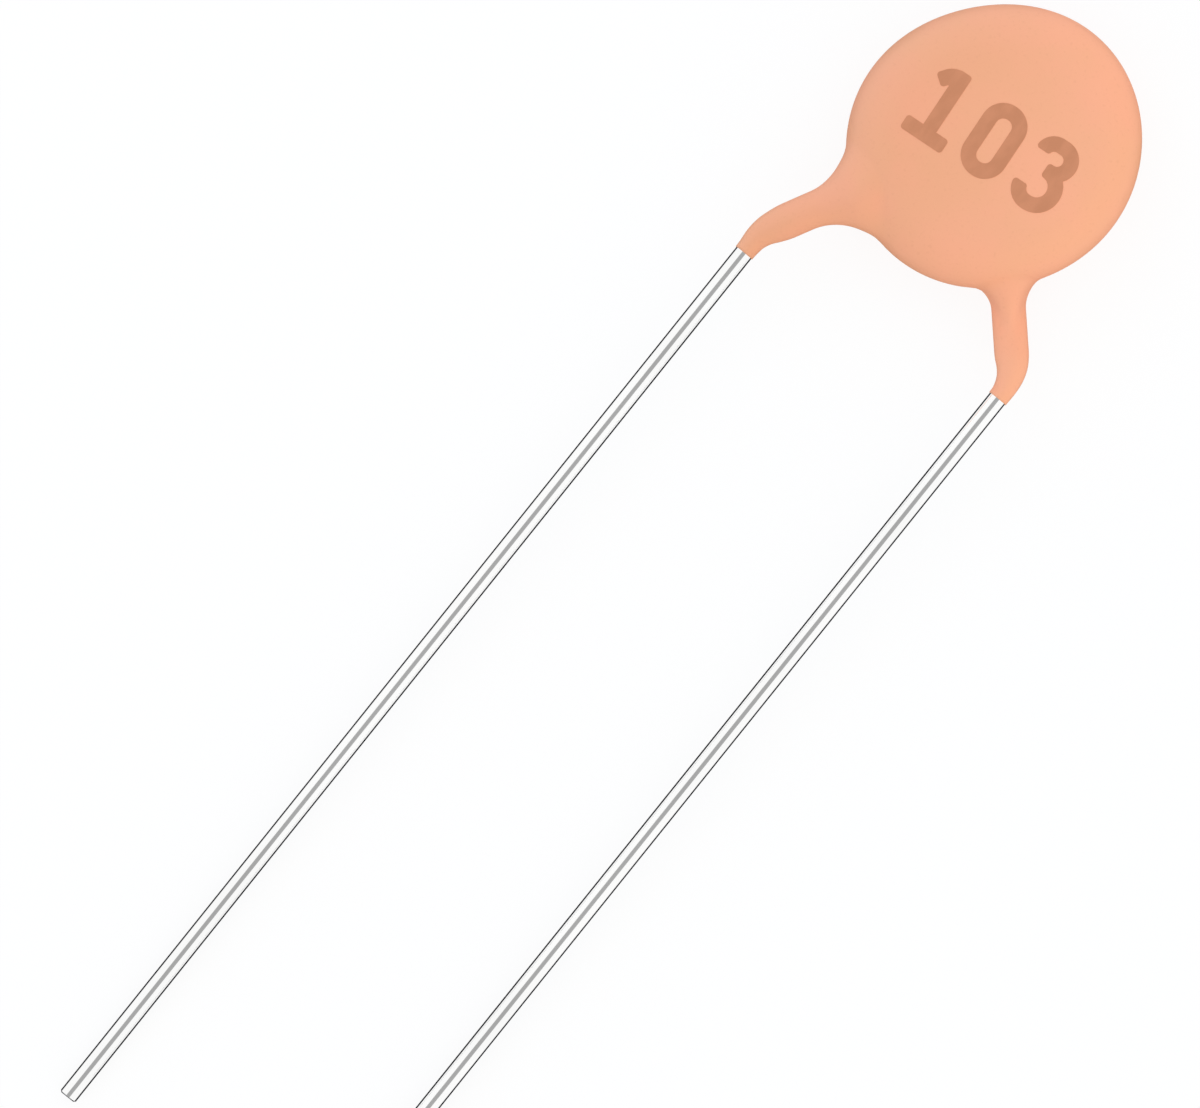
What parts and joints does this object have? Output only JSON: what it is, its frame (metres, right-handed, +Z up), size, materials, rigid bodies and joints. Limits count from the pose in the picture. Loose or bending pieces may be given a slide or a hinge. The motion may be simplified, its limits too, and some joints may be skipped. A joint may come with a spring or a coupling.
{
  "type": "ceramic disc capacitor",
  "caption": "Radial leaded ceramic disc capacitor: a salmon dipped round body with splayed coated legs and long straight tinned leads.",
  "frame": {"origin": "middle of the flat back face of the coat, on the surface that the part lies on", "axes": "+Z up, out of the printed front face; -Y along the leads towards their cut ends; +X towards the right lead"},
  "size_m": [0.0083, 0.0382, 0.0027],
  "materials": {
    "coat_resin": "satin dipped resin",
    "dielectric": "fired, unglazed",
    "silver_film": "fired silver paste",
    "solder": "reflowed solder",
    "tinned_wire": "bright tinned"
  },
  "bodies": {
    "root": {"coating": "coat_resin", "ceramic_disc": "dielectric", "front_electrode": "silver_film", "back_electrode": "silver_film", "front_solder": "solder", "back_solder": "solder", "left_lead": "tinned_wire", "right_lead": "tinned_wire"}
  },
  "joints": []
}
